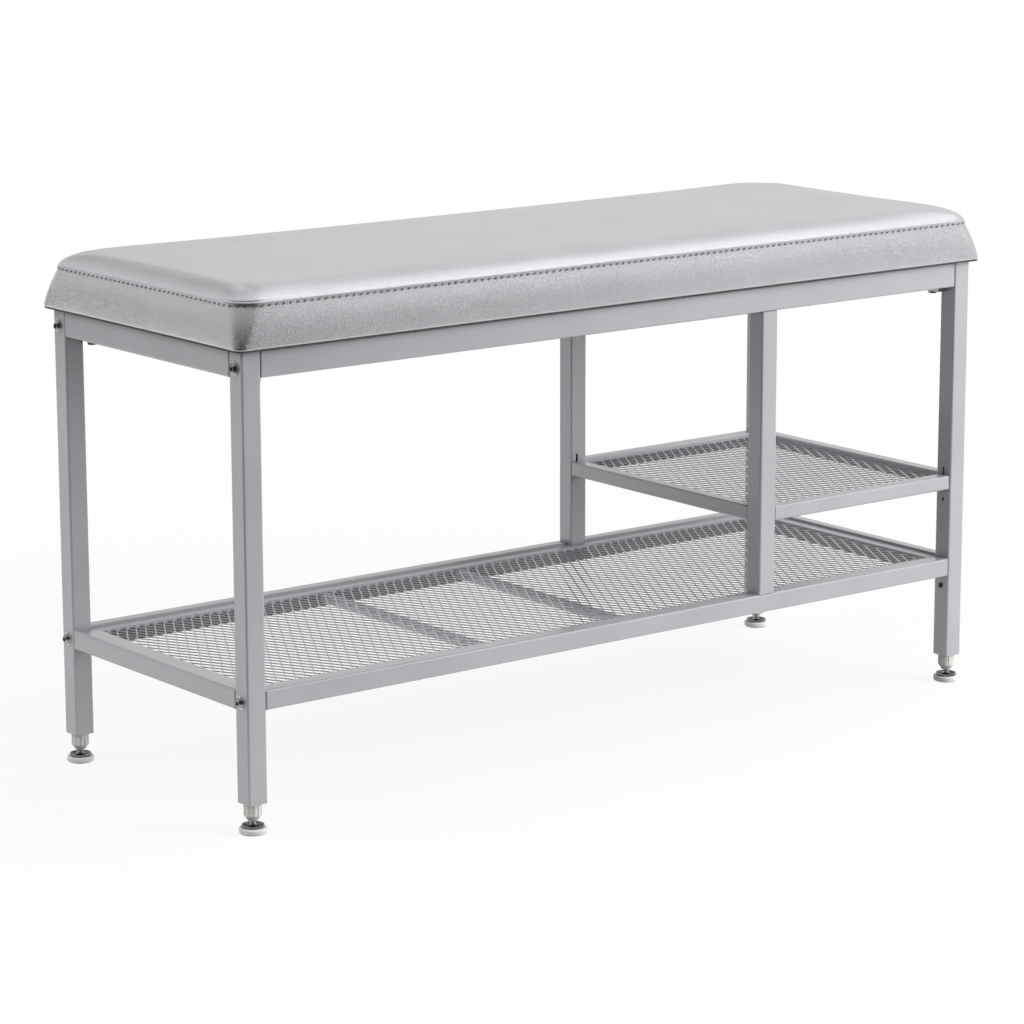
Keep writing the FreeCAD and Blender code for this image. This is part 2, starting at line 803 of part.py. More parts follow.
def leg_top_plugs():
    """Plastic caps pressed into the tops of the legs, open cups turned upside down."""
    width = leg_hollow - 2 * plug_clearance
    low = frame_top - top_plug_height
    plugs = []
    for side in sides.values():
        for face in faces.values():
            x = side * leg_x
            y = face * leg_y
            cap = box(span_about(x, width), span_about(y, width), (low, frame_top))
            hollow = width - 2 * top_plug_wall
            inside = (low, frame_top - top_plug_wall)
            plugs.append(cap.cut(box(span_about(x, hollow), span_about(y, hollow), inside)))
    return plugs


def leg_hole_plugs():
    """Small oblong plugs that stand out of slots in the legs' inner faces, under the rails."""
    plugs = []
    for side in sides.values():
        for face in faces.values():
            for height in plug_levels(face):
                plugs.append(leg_plug(side * leg_inner_x, side, face * leg_y, height, 0))
    return plugs


def foot_plug():
    """Fluted plastic bush under a leg with its ribbed square shank inside the tube."""
    bore = stem_radius + stem_clearance
    body = turned([
        (bore, cone_bottom),
        (cone_tip_radius, cone_bottom),
        (collar_radius, collar_bottom),
        (collar_radius, leg_bottom),
        (bore, leg_bottom),
    ])
    flute_reach = (collar_radius - flute_depth, 2 * collar_radius)
    flute = box(flute_reach, span_about(0, flute_width), (collar_bottom, leg_bottom))
    for step in range(flute_count):
        groove = flute.copy()
        groove.rotate(FreeCAD.Vector(0, 0, 0), FreeCAD.Vector(0, 0, 1), 360 * step / flute_count)
        body = body.cut(groove)
    rib_width = leg_hollow - 2 * plug_clearance
    core_width = rib_width - 2 * shank_core_drop
    shank_top = leg_bottom + shank_height
    core = span_about(0, core_width)
    rib = span_about(0, rib_width)
    shank = box(core, core, (leg_bottom, shank_top))
    pitch = (shank_height - shank_rib_height) / (shank_rib_count - 1)
    for step in range(shank_rib_count):
        low = leg_bottom + step * pitch
        shank = shank.fuse(box(rib, rib, (low, low + shank_rib_height)))
    shank = shank.cut(rod("z", (leg_bottom, shank_top), 0, 0, bore))
    return body.fuse(shank).removeSplitter()


def foot_stem():
    """Levelling screw, from its seat in the pad up into the leg."""
    low = pad_height - socket_depth + stem_clearance
    top = leg_bottom + shank_height + stem_above_shank
    return turned([
        (0, low),
        (stem_radius - stem_chamfer, low),
        (stem_radius, low + stem_chamfer),
        (stem_radius, top - stem_chamfer),
        (stem_radius - stem_chamfer, top),
        (0, top),
    ])


def foot_dish():
    """Steel dish on the screw: floor, raised rim and a hexagonal hub for the spanner."""
    bore = stem_radius + thread_clearance
    floor_top = pad_height + dish_floor
    rim_inside = dish_radius - dish_rim_width
    dish = turned([
        (bore, pad_height),
        (dish_radius - dish_floor, pad_height),
        (dish_radius, floor_top),
        (dish_radius, dish_top),
        (rim_inside, dish_top),
        (rim_inside - dish_floor, floor_top),
        (bore, floor_top),
    ])
    hub = hexagon(dish_hub_width, floor_top, dish_top)
    return dish.fuse(hub.cut(rod("z", (floor_top, dish_top), 0, 0, bore))).removeSplitter()


def foot_pad():
    """Plastic glide disc with eased edges and a socket for the screw's end."""
    socket_radius = stem_radius + stem_clearance
    socket_floor = pad_height - socket_depth
    return turned([
        (0, 0),
        (pad_radius - pad_base_ease, 0),
        (pad_radius, pad_base_ease),
        (pad_radius, pad_height - pad_top_ease),
        (pad_radius - pad_top_ease, pad_height),
        (socket_radius, pad_height),
        (socket_radius, socket_floor),
        (0, socket_floor),
    ])


def export(name, shape):
    """Write one node, a single solid or a group of separate ones."""
    solids = shape if isinstance(shape, list) else [shape]
    solids = [solid for item in solids for solid in item.Solids]
    for solid in solids:
        if not solid.isValid():
            raise ValueError(name + " is not a valid solid")
    whole = solids[0] if len(solids) == 1 else Part.makeCompound(solids)
    whole.exportStep("parts/" + name + ".step")
    print(name, len(solids), round(sum(solid.Volume for solid in solids)))


os.makedirs("parts", exist_ok=True)

foot_pieces = {
    "foot_plug": foot_plug(),
    "foot_stem": foot_stem(),
    "foot_dish": foot_dish(),
    "foot_pad": foot_pad(),
}
for face_name, face in faces.items():
    for side_name, side in sides.items():
        corner_name = face_name + "_" + side_name
        export("leg_" + corner_name, leg(side, face))
        for piece_name, piece in foot_pieces.items():
            export(piece_name + "_" + corner_name, moved(piece, side * leg_x, face * leg_y, 0))

for face_name, face in faces.items():
    export("upper_rail_" + face_name, upper_rail_long(face))
    export("lower_rail_" + face_name, shelf_rail_long(face))
    export("mid_post_" + face_name, mid_post(face))
    export("mid_rail_" + face_name, mid_rail_long(face))

for side_name, side in sides.items():
    export("upper_rail_" + side_name, upper_rail_short(side))

export("lower_rail_left", shelf_rail_short(sides["left"], shelf_lip_left))
export("lower_rail_right", shelf_rail_short(sides["right"], shelf_lip_right))
export("lower_cross_bar_left", cross_bar(cross_bar_left_x))
export("lower_cross_bar_right", cross_bar(cross_bar_right_x))
export("lower_net", lower_net())
export("mid_rail_left", mid_rail_short(mid_post_left, 1))
export("mid_rail_right", mid_rail_short(half_length, -1))
export("mid_net", mid_net())
export("mid_shelf_hooks", shelf_hooks())

export("seat_cover", seat_cover())
export("seat_foam", seat_foam())
seat_pilot_radius = seat_screw_radius + thread_clearance
export("seat_board", with_screw_holes(seat_panel(0, board_bottom, board_thickness), seat_pilot_radius))
base_cloth = seat_panel(base_cloth_margin, frame_top, base_cloth_thickness)
export("seat_base_cloth", with_screw_holes(base_cloth, seat_pilot_radius))
export("seat_tabs", seat_tabs())
export("seat_screws", seat_screws())

export("frame_bolts", frame_bolts())
export("frame_washers", frame_washers())
export("rail_nuts", rail_nuts())
export("post_bolts", post_bolts())
export("post_nuts", post_nuts())
export("leg_top_plugs", leg_top_plugs())
export("leg_hole_plugs", leg_hole_plugs())
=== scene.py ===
import json
import math

import bmesh
import bpy
from bpy.props import FloatProperty, FloatVectorProperty, PointerProperty
from mathutils import Matrix, Vector, noise
from mathutils.bvhtree import BVHTree


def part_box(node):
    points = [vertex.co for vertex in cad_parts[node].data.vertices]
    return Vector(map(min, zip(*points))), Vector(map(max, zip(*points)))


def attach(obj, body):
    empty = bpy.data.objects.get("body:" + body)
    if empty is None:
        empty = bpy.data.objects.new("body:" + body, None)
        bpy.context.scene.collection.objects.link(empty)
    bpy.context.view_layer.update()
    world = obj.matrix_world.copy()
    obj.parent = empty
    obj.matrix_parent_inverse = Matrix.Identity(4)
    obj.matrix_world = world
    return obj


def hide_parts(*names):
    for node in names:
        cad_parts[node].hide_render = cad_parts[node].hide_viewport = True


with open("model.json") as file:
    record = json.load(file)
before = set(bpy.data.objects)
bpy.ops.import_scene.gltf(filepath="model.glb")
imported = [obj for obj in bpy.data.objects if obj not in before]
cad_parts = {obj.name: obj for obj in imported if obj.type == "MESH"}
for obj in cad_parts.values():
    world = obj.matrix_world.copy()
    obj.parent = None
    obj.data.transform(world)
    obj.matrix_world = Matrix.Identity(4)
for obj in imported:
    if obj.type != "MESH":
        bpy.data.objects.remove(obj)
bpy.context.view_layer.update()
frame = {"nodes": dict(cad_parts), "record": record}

bl_info = {
    "name": "Storage bench",
    "version": (1, 0, 0),
    "blender": (4, 5, 0),
    "location": "3D View > Sidebar > Bench",
    "description": "Looks of a steel storage bench with a padded seat, built around its CAD frame",
    "category": "Object",
}

mm = 0.001
corner_names = [face + side for face in ("front_", "back_") for side in ("left", "right")]
seat_low, seat_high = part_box("seat_cover")
colour_kind = {"subtype": "COLOR", "size": 3, "min": 0, "max": 1}

# Density of the seat's meshes, frames of its cloth simulation and rounds that even out its swell
cover_step = 13 * mm
corner_steps = 8  # an even number
band_steps = 6
edge_steps = 5
thread_sides = 6
cloth_frames = 20
ease_rounds = 6

# Gap and small folds of the cover: under it, in the hem, at the leather's rolled lower edge as
# pairs of outset and rise, beside the stitches and at the seam
base_gap = 0.1 * mm
hem_turn_up = 0.9 * mm
hem_fold = 0.3 * mm
hem_crease = 0.2 * mm
rolled_edge = ((-0.7 * mm, 0.1 * mm), (-0.2 * mm, 0.7 * mm), (0.0, 1.8 * mm))
furrow = 1.6 * mm
seam_crease = 0.8 * mm

# Stitches, as heights over the leather in thread radii, slack of the base cloth, ends of a screw
stitch_arch = 2.0
stitch_sink = 0.8
cloth_slack = 0.3 * mm
screw_chamfer = 0.8 * mm

# Corners of a rectangle, in order round it
quad = ((-1, -1), (1, -1), (1, 1), (-1, 1))

# Paints, and how much lighter or darker some pieces are painted than the rest of their slot:
# painted light on the cross bars and washers, painted shade on the bolt heads
tube_paint = {"metallic": 0.2, "roughness": 0.36, "coat": 0.6}
mesh_paint = {"metallic": 0.0, "roughness": 0.3, "coat": 1.0}
cross_bar_painted_light_share = 1.7
washer_painted_light_share = 1.4
bolt_painted_shade_share = 0.6


def colour_of(slot):
    """Base colour that the record gives a material slot."""
    materials = frame["record"]["materials"]
    return [entry["base_color"] for entry in materials if entry["slot"] == slot][0]


class SeatProperties(bpy.types.PropertyGroup):
    """Sizes and colours of the padded seat."""

    cover_colour: FloatVectorProperty(
        name="Cover colour", description="Colour of the synthetic leather",
        **colour_kind, default=(0.67, 0.678, 0.70))
    # Dark thread: a thread colour that also stands in for the shade in the needle holes
    thread_and_hole_shade_colour: FloatVectorProperty(
        name="Thread colour", description="Colour of the top stitching",
        **colour_kind, default=(0.12, 0.12, 0.125))
    base_corner: FloatProperty(
        name="Base corner", description="Radius of the seat's corners in plan, at the base",
        unit="LENGTH", default=9 * mm)
    seam_corner: FloatProperty(
        name="Seam corner", description="Radius of the seat's corners in plan, at the seam",
        unit="LENGTH", default=26 * mm)
    corner_tightening: FloatProperty(
        name="Corner tightening",
        description="Loss of corner radius above the seam, as a share of the way inward",
        subtype="FACTOR", min=0, max=1, default=0.7)
    tuck: FloatProperty(
        name="Tuck", description="How far the cover turns in under the seat",
        unit="LENGTH", default=7.4 * mm)
    # The black hem is black cloth; it also stands in for the shade in the gap under the seat's edge
    hem_height: FloatProperty(
        name="Hem height", description="Height of the black hem that shows below the leather",
        unit="LENGTH", default=2 * mm)
    hem_inset: FloatProperty(
        name="Hem inset", description="How far the black hem stands back from the leather",
        unit="LENGTH", default=1 * mm)
    flare: FloatProperty(
        name="Side flare", description="How far the side band leans in from its base to the seam",
        unit="LENGTH", default=6 * mm)
    band_bulge: FloatProperty(
        name="Band bulge", description="How far the band is rounded out below the stitches",
        unit="LENGTH", default=1.9 * mm)
    seam_height: FloatProperty(
        name="Seam height", description="Height of the seam above the seat's underside",
        unit="LENGTH", default=43 * mm)
    seam_depth: FloatProperty(
        name="Seam depth", description="Depth of the crease where the top panel meets the band",
        unit="LENGTH", default=1.1 * mm)
    stitch_drop: FloatProperty(
        name="Stitch drop", description="Distance of the stitches below the seam",
        unit="LENGTH", default=4 * mm)
    stitch_pull: FloatProperty(
        name="Stitch pull", description="Depth of the furrow that the stitches pull",
        unit="LENGTH", default=0.45 * mm)
    edge_reach: FloatProperty(
        name="Edge reach", description="Width of the top panel's rounded edge",
        unit="LENGTH", default=20 * mm)
    edge_start: FloatProperty(
        name="Edge start", description="Angle at which the rounded edge leaves the seam",
        subtype="ANGLE", default=math.radians(35))
    crown: FloatProperty(
        name="Crown", description="Height that the padding adds in the middle of the top",
        unit="LENGTH", default=2 * mm)
    side_draw: FloatProperty(
        name="Side draw", description="How far the sides pull in between the corners",
        unit="LENGTH", default=1 * mm)
    swell: FloatProperty(
        name="Swell", description="Most that the padding may push the cover out",
        unit="LENGTH", default=1.6 * mm)
    pressure: FloatProperty(
        name="Pressure", description="Pressure of the padding in the cloth simulation", default=4)
    stitch_pitch: FloatProperty(
        name="Stitch pitch", description="Distance from one stitch to the next",
        unit="LENGTH", default=7.5 * mm)
    stitch_length: FloatProperty(
        name="Stitch length", description="Length of thread that shows in each stitch",
        unit="LENGTH", default=4 * mm)
    stitch_slant: FloatProperty(
        name="Stitch slant", description="Slant of each stitch to the seam",
        subtype="ANGLE", default=math.radians(28))
    thread_radius: FloatProperty(
        name="Thread radius", description="Half of the thread's thickness",
        unit="LENGTH", default=0.42 * mm)
    cloth_colour: FloatVectorProperty(
        name="Base cloth colour", description="Colour of the cloth under the seat",
        **colour_kind, default=(0.035, 0.035, 0.037))


class ShelfProperties(bpy.types.PropertyGroup):
    """Sizes and colour of the expanded mesh shelves."""

    mesh_colour: FloatVectorProperty(
        name="Mesh colour", description="Colour of the painted mesh",
        **colour_kind, default=(0.29, 0.305, 0.33))
    pitch_along: FloatProperty(
        name="Pitch along", description="Width of a diamond along the bench",
        unit="LENGTH", default=10.4 * mm)
    pitch_across: FloatProperty(
        name="Pitch across", description="Length of a diamond across the bench",
        unit="LENGTH", default=18.1 * mm)
    strand_width: FloatProperty(
        name="Strand width", description="Width of one strand of the mesh",
        unit="LENGTH", default=1.2 * mm)
    strand_thickness: FloatProperty(
        name="Strand thickness", description="Thickness of the sheet that the mesh is cut from",
        unit="LENGTH", default=0.9 * mm)
    bond_length: FloatProperty(
        name="Bond length", description="Length over which two strands stay joined",
        unit="LENGTH", default=2 * mm)
    strand_tilt: FloatProperty(
        name="Strand tilt", description="Lean of the strands out of the sheet",
        subtype="ANGLE", default=math.radians(4))


class FrameProperties(bpy.types.PropertyGroup):
    """Colours of the painted frame and its fittings."""

    paint_colour: FloatVectorProperty(
        name="Paint colour", description="Colour of the satin paint on the tubes",
        **colour_kind, default=(0.45, 0.46, 0.48))
    zinc_colour: FloatVectorProperty(
        name="Zinc colour", description="Colour of the plated bolts, washers and screws",
        **colour_kind, default=(0.6, 0.6, 0.61))
    dish_colour: FloatVectorProperty(
        name="Dish colour", description="Colour of the dark plated dishes on the feet",
        **colour_kind, default=(0.16, 0.16, 0.165))
    white_plastic_colour: FloatVectorProperty(
        name="White plastic colour", description="Colour of the foot bushes and pads",
        **colour_kind, default=(0.78, 0.775, 0.74))
    black_plastic_colour: FloatVectorProperty(
        name="Black plastic colour", description="Colour of the small plugs and caps",
        **colour_kind, default=(0.018, 0.018, 0.02))
    thread_pitch: FloatProperty(
        name="Thread pitch", description="Pitch of the levelling screws",
        unit="LENGTH", default=1 * mm)
    thread_depth: FloatProperty(
        name="Thread depth", description="Depth of the levelling screws' thread",
        unit="LENGTH", default=0.6 * mm)


class StageProperties(bpy.types.PropertyGroup):
    """Camera, lamps and floor."""

    camera_place: FloatVectorProperty(
        name="Camera place", description="Where the camera stands",
        subtype="TRANSLATION", unit="LENGTH", size=3, default=(-2.1584, -2.75636, 0.96782))
    camera_azimuth: FloatProperty(
        name="Camera azimuth", description="Turn of the camera from straight in front",
        subtype="ANGLE", default=-0.65926)
    camera_elevation: FloatProperty(
        name="Camera elevation", description="How far the camera looks down",
        subtype="ANGLE", default=0.21314)
    camera_roll: FloatProperty(
        name="Camera roll", description="Turn of the camera about its own line of sight",
        subtype="ANGLE", default=-0.00235)
    lens: FloatProperty(
        name="Lens", description="Focal length on a 36 mm sensor, in millimetres", default=128.16)
    bright_side: FloatVectorProperty(
        name="Bright side", description="Direction from which the room's light is brightest",
        subtype="DIRECTION", size=3, default=(0.5, -0.55, 0.67))
    dim_light: FloatProperty(
        name="Dim light", description="Strength of the room's light from the sides and behind",
        default=0.15)
    bright_light: FloatProperty(
        name="Bright light", description="Strength of the room's light from its bright side",
        default=1.0)
    key_power: FloatProperty(
        name="Key lamp", description="Power of the large lamp in front on the right",
        unit="POWER", default=61)
    top_power: FloatProperty(
        name="Top lamp", description="Power of the lamp above the seat's right end",
        unit="POWER", default=13.5)
    band_power: FloatProperty(
        name="Band lamp", description="Power of the lamp that the seat's side band reflects",
        unit="POWER", default=5.5)
    left_power: FloatProperty(
        name="Left lamp", description="Power of the lamp on the left", unit="POWER", default=26)
    card_colour: FloatVectorProperty(
        name="Card colour", description="Colour of the dark surround and the dark flag",
        **colour_kind, default=(0.05, 0.05, 0.05))
    floor_colour: FloatVectorProperty(
        name="Floor colour", description="Colour of the floor to the light that it throws back",
        **colour_kind, default=(0.3, 0.3, 0.3))


def add_node(tree, kind, inputs=(), **settings):
    """New shader node with its settings, each input set to a value or linked from a socket."""
    made = tree.nodes.new(kind)
    for name, value in settings.items():
        setattr(made, name, value)
    for name, value in dict(inputs).items():
        if isinstance(value, bpy.types.NodeSocket):
            tree.links.new(value, made.inputs[name])
        else:
            made.inputs[name].default_value = value
    return made


def new_finish(name, **values):
    """Material with a principled shader, its constant sockets set by name."""
    finish = bpy.data.materials.new(name)
    finish.use_nodes = True
    shader = finish.node_tree.nodes["Principled BSDF"]
    for socket, value in values.items():
        shader.inputs[socket.replace("_", " ").title()].default_value = value
    return finish, finish.node_tree, shader


def object_place(tree, scale=(1, 1, 1)):
    """Point on the piece in metres, stretched by a scale."""
    place = add_node(tree, "ShaderNodeTexCoord").outputs["Object"]
    return add_node(tree, "ShaderNodeMapping", {"Vector": place, "Scale": scale}).outputs["Vector"]


def patches(tree, place, size, detail=2.0):
    """Soft noise from 0 to 1 with patches of a size in metres."""
    made = add_node(
        tree, "ShaderNodeTexNoise", {"Vector": place, "Scale": 1 / size, "Detail": detail})
    return made.outputs["Fac"]


def number_math(tree, operation, first, second):
    """Number that an operation makes of two numbers."""
    made = add_node(tree, "ShaderNodeMath", {0: first, 1: second}, operation=operation)
    return made.outputs["Value"]


def vector_math(tree, operation, first, second=(0, 0, 0)):
    """Vector or number that an operation makes of two vectors."""
    made = add_node(tree, "ShaderNodeVectorMath", {0: first, 1: second}, operation=operation)
    return made.outputs["Value" if operation in ("DOT_PRODUCT", "LENGTH") else "Vector"]


def toned(tree, factor, colour, low, high):
    """Colour that runs from a low to a high share of itself over the middle of a noise."""
    made = add_node(tree, "ShaderNodeValToRGB", {"Fac": factor})
    for stop, position, share in zip(made.color_ramp.elements, (0.3, 0.7), (low, high)):
        stop.position = position
        stop.color = (*shaded(colour, share), 1)
    return made.outputs["Color"]


def number_between(tree, value, low, high, start=0.0, end=1.0):
    """Number that runs from low to high while a value runs from start to end."""
    made = add_node(tree, "ShaderNodeMapRange", {
        "Value": value, "From Min": start, "From Max": end, "To Min": low, "To Max": high})
    return made.outputs["Result"]


def sum_of(tree, first, second, share):
    """First number plus a share of the second."""
    made = add_node(
        tree, "ShaderNodeMath", {0: second, 1: share, 2: first}, operation="MULTIPLY_ADD")
    return made.outputs["Value"]


def shaded(colour, share):
    """Colour made lighter or darker by a share."""
    return tuple(min(channel * share, 1) for channel in colour)


def dimmed(tree, colour, level):
    """Colour brought down to a level, where 1 leaves it as it is."""
    made = add_node(tree, "ShaderNodeHueSaturation", {"Value": level, "Color": colour})
    return made.outputs["Color"]


def lay_on(tree, shader, tone, roughness, height, depth):
    """Give a shader its colour, its roughness and a bump of a depth in metres."""
    bump = add_node(tree, "ShaderNodeBump", {"Height": height, "Distance": depth, "Strength": 1.0})
    tree.links.new(tone, shader.inputs["Base Color"])
    tree.links.new(roughness, shader.inputs["Roughness"])
    tree.links.new(bump.outputs["Normal"], shader.inputs["Normal"])


def corner_shade(tree, colour, reach, depth):
    """Colour darkened in crevices with painted shade, from ambient occlusion: reach is how far out,
    depth how much.
    """
    opened = add_node(tree, "ShaderNodeAmbientOcclusion", {"Distance": reach}, samples=8)
    return dimmed(tree, colour, number_between(tree, opened.outputs["AO"], 1 - depth, 1.0))


def painted_shade_under_net(tree, colour, net, depth):
    """Colour darkened with painted shade below a shelf's mesh, on the faces toward its middle."""
    low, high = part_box(net)
    middle = ((low.x + high.x) / 2, (low.y + high.y) / 2, 0)
    surface = add_node(tree, "ShaderNodeNewGeometry").outputs
    place = vector_math(tree, "SUBTRACT", surface["Position"], middle)
    flat = vector_math(tree, "MULTIPLY", place, (1, 1, 0))
    facing = vector_math(tree, "DOT_PRODUCT", flat, surface["Normal"])
    inward = number_between(tree, facing, 0.0, depth, start=-50 * mm, end=-100 * mm)
    height = add_node(tree, "ShaderNodeSeparateXYZ", {"Vector": surface["Position"]}).outputs["Z"]
    shade_share = number_between(tree, height, 0.0, inward, start=low.z, end=low.z - mm)
    return dimmed(tree, colour, number_math(tree, "SUBTRACT", 1.0, shade_share))


def satin_paint(name, colour, metallic, roughness, coat, crevice_shade, net=None):
    """Silver paint baked on steel: flake, mottling, orange peel, painted shade in crevices and
    below a net.
    """
    finish, tree, shader = new_finish(
        name, metallic=metallic, coat_weight=coat, coat_roughness=0.16)
    place = object_place(tree)
    mottle = patches(tree, place, size=90 * mm)
    flake = patches(tree, place, size=0.6 * mm, detail=0.0)
    flake_share = 0.35
    tone = sum_of(tree, mottle, flake, flake_share)
    tone = number_math(tree, "SUBTRACT", tone, flake_share / 2)
    tone = toned(tree, tone, colour, 0.95, 1.05)
    # Painted shade: the colour darkens in crevices and between parts, by ambient occlusion
    if crevice_shade:
        tone = corner_shade(tree, tone, reach=8 * mm, depth=crevice_shade)
    # Painted shade on the faces that lie below the net's level and face the shelf's middle
    if net:
        tone = painted_shade_under_net(tree, tone, net, depth=0.9)
    rough = number_between(tree, mottle, roughness - 0.05, roughness + 0.05)
    peel = patches(tree, place, size=1.8 * mm, detail=1.0)
    lay_on(tree, shader, tone, rough, peel, depth=0.03 * mm)
    return finish


def grained_leather(name, colour):
    """Silver synthetic leather with pebbled grain, a satin sheen, faint rubbing and painted shade
    in its creases.
    """
    finish, tree, shader = new_finish(name, metallic=0.97, coat_weight=0.2, coat_roughness=0.25)
    place = object_place(tree)
    wander = add_node(tree, "ShaderNodeTexNoise", {"Vector": place, "Scale": 260.0, "Detail": 1.0})
    bend = vector_math(tree, "MULTIPLY", wander.outputs["Color"], (1.6 * mm,) * 3)
    pebble = add_node(
        tree, "ShaderNodeTexVoronoi",
        {"Vector": vector_math(tree, "ADD", place, bend), "Scale": 780.0},
        feature="DISTANCE_TO_EDGE")
    grain = number_between(tree, pebble.outputs["Distance"], 0.0, 4.0)
    rub = patches(tree, place, size=70 * mm)
    tone = toned(tree, sum_of(tree, rub, grain, 0.12), colour, 0.96, 1.04)
    # Painted shade in the creases and at the seat's lower edge, by ambient occlusion
    tone = corner_shade(tree, tone, reach=6 * mm, depth=0.9)
    rough = number_between(tree, rub, 0.30, 0.40)
    puckers = patches(tree, place, size=12 * mm)
    lay_on(tree, shader, tone, rough, sum_of(tree, grain, puckers, 1.5), depth=0.09 * mm)
    return finish


def plated_steel(name, colour):
    """Zinc plating: bright, faintly brushed and a little cloudy."""
    finish, tree, shader = new_finish(name, metallic=1.0)
    brushed = patches(tree, object_place(tree, (1, 1, 14)), size=4 * mm, detail=4.0)
    cloud = patches(tree, object_place(tree), size=6 * mm)
    tone = toned(tree, cloud, colour, 0.88, 1.08)
    rough = number_between(tree, brushed, 0.2, 0.36)
    lay_on(tree, shader, tone, rough, brushed, depth=0.02 * mm)
    return finish


def moulded_plastic(name, colour, glow, roughness):
    """Moulded plastic with a fine spark texture, glow being how far light sinks in."""
    finish, tree, shader = new_finish(
        name, subsurface_weight=glow, subsurface_radius=(4 * mm, 4 * mm, 3 * mm),
        subsurface_scale=1.0)
    place = object_place(tree)
    cloud = patches(tree, place, size=20 * mm)
    tone = toned(tree, cloud, colour, 0.95, 1.04)
    rough = number_between(tree, cloud, roughness, roughness + 0.1)
    spark = patches(tree, place, size=0.4 * mm, detail=1.0)
    lay_on(tree, shader, tone, rough, spark, depth=0.02 * mm)
    return finish


def twisted_thread(name, colour):
    """Polyester sewing thread, its plies seen as fine slanted bands."""
    finish, tree, shader = new_finish(name, sheen_weight=0.3)
    wave = add_node(
        tree, "ShaderNodeTexWave",
        {"Vector": object_place(tree, (1, 1, 1.6)), "Scale": 900.0, "Distortion": 1.5},
        bands_direction="DIAGONAL")
    plies = wave.outputs["Fac"]
    tone = toned(tree, plies, colour, 0.7, 1.3)
    lay_on(tree, shader, tone, number_between(tree, plies, 0.5, 0.7), plies, depth=0.08 * mm)
    return finish


def raw_board(name, colour):
    """Pale plywood with long grain."""
    finish, tree, shader = new_finish(name)
    grain = patches(tree, object_place(tree, (0.06, 1, 1)), size=4 * mm, detail=6.0)
    tone = toned(tree, grain, colour, 0.7, 1.1)
    lay_on(tree, shader, tone, number_between(tree, grain, 0.55, 0.75), grain, depth=0.1 * mm)
    return finish


def bonded_cloth(name, colour):
    """Black non-woven cloth: matted fibres and rows of heat-bonded dots."""
    finish, tree, shader = new_finish(name, sheen_weight=0.4, sheen_roughness=0.5)
    place = object_place(tree)
    fibre = patches(tree, place, size=1.2 * mm, detail=5.0)
    dots = add_node(
        tree, "ShaderNodeTexVoronoi", {"Vector": place, "Scale": 420.0, "Randomness": 0.15})
    pressed = number_between(tree, dots.outputs["Distance"], 0.0, 1.6)
    tone = toned(tree, sum_of(tree, fibre, pressed, 0.3), colour, 0.6, 1.6)
    rough = number_between(tree, fibre, 0.75, 0.95)
    lay_on(tree, shader, tone, rough, sum_of(tree, pressed, fibre, 0.5), depth=0.2 * mm)
    return finish


def nodes_of(slot):
    """Names of the CAD nodes that take one material slot of the record."""
    return [part["node"] for part in frame["record"]["subparts"] if part["material_slot"] == slot]


def give_finish(names, finish):
    """Put one material on CAD nodes."""
    for name in names:
        shown = frame["nodes"][name]
        shown.data.materials.clear()
        shown.data.materials.append(finish)


def new_object(name, data):
    """Object that shows some data, linked to the scene."""
    made = bpy.data.objects.new(name, data)
    bpy.context.scene.collection.objects.link(made)
    return made


def new_piece(name, points, faces, finish, body, smooth=True):
    """Mesh piece that rides on a CAD body and takes a slot's finish."""
    mesh = bpy.data.meshes.new(name)
    mesh.from_pydata(points, [], faces)
    mesh.validate()
    if smooth:
        mesh.shade_smooth()
    mesh.materials.append(finish)
    piece = new_object(name, mesh)
    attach(piece, body)
    return piece


def join_rings(faces, start, size, rings):
    """Add the faces between rings of points that follow each other in a mesh."""
    for low in range(start, start + (rings - 1) * size, size):
        for side in range(size):
            ahead = (side + 1) % size
            faces.append((low + side, low + ahead, low + size + ahead, low + size + side))


def swept(points, faces, path, section):
    """Add a closed tube to the lists: a section's offsets carried along a path, with flat ends."""
    start = len(points)
    size = len(section)
    for spot in path:
        points.extend(spot + offset for offset in section)
    join_rings(faces, start, size, len(path))
    faces.append(tuple(start + side for side in reversed(range(size))))
    last = start + (len(path) - 1) * size
    faces.append(tuple(last + side for side in range(size)))


def cut_to_span(path, low, high):
    """Part of a path between two values of Y, with new ends where it crosses them."""
    kept = []
    for ahead, spot in enumerate(path):
        if ahead:
            back = path[ahead - 1]
            for limit in (low, high):
                if (back.y - limit) * (spot.y - limit) < 0:
                    kept.append(back.lerp(spot, (limit - back.y) / (spot.y - back.y)))
        if low <= spot.y <= high:
            kept.append(spot)
    return kept


def expanded_mesh(node, shelf, finish):
    """Expanded steel mesh: zigzag strands joined at their bonds and a little tilted."""
    low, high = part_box(node)
    columns = round((high.x - low.x) / (shelf.pitch_along / 2))
    step = (high.x - low.x) / columns
    half_row = shelf.pitch_across / 2
    rows = math.ceil((high.y - low.y) / half_row)
    across = Vector((math.cos(shelf.strand_tilt), 0, math.sin(shelf.strand_tilt)))
    upward = Vector((-math.sin(shelf.strand_tilt), 0, math.cos(shelf.strand_tilt)))
    swing = (step - shelf.strand_width * across.x) / 2
    rise = -shelf.strand_width * across.z / 2
    half_width = across * shelf.strand_width / 2
    half_thick = upward * shelf.strand_thickness / 2
    section = [x * half_width + z * half_thick for x, z in quad]
    middle = (low + high) / 2
    middle.z = low.z - rise + half_width.z + half_thick.z
    points = []
    faces = []
    for column in range(columns):
        centre = low.x + (column + 0.5) * step
        path = []
        for row in range(-1, rows + 2):
            side = 1 if (row + column) % 2 else -1
            bond_y = middle.y + (row - rows / 2) * half_row
            for end in (-1, 1):
                along = bond_y + end * shelf.bond_length / 2
                path.append(Vector((centre + side * swing, along, middle.z + side * rise)))
        swept(points, faces, cut_to_span(path, low.y, high.y), section)
    name = node + "_strands"
    piece = new_piece(name, points, faces, finish, "frame", smooth=False)
    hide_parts(node)


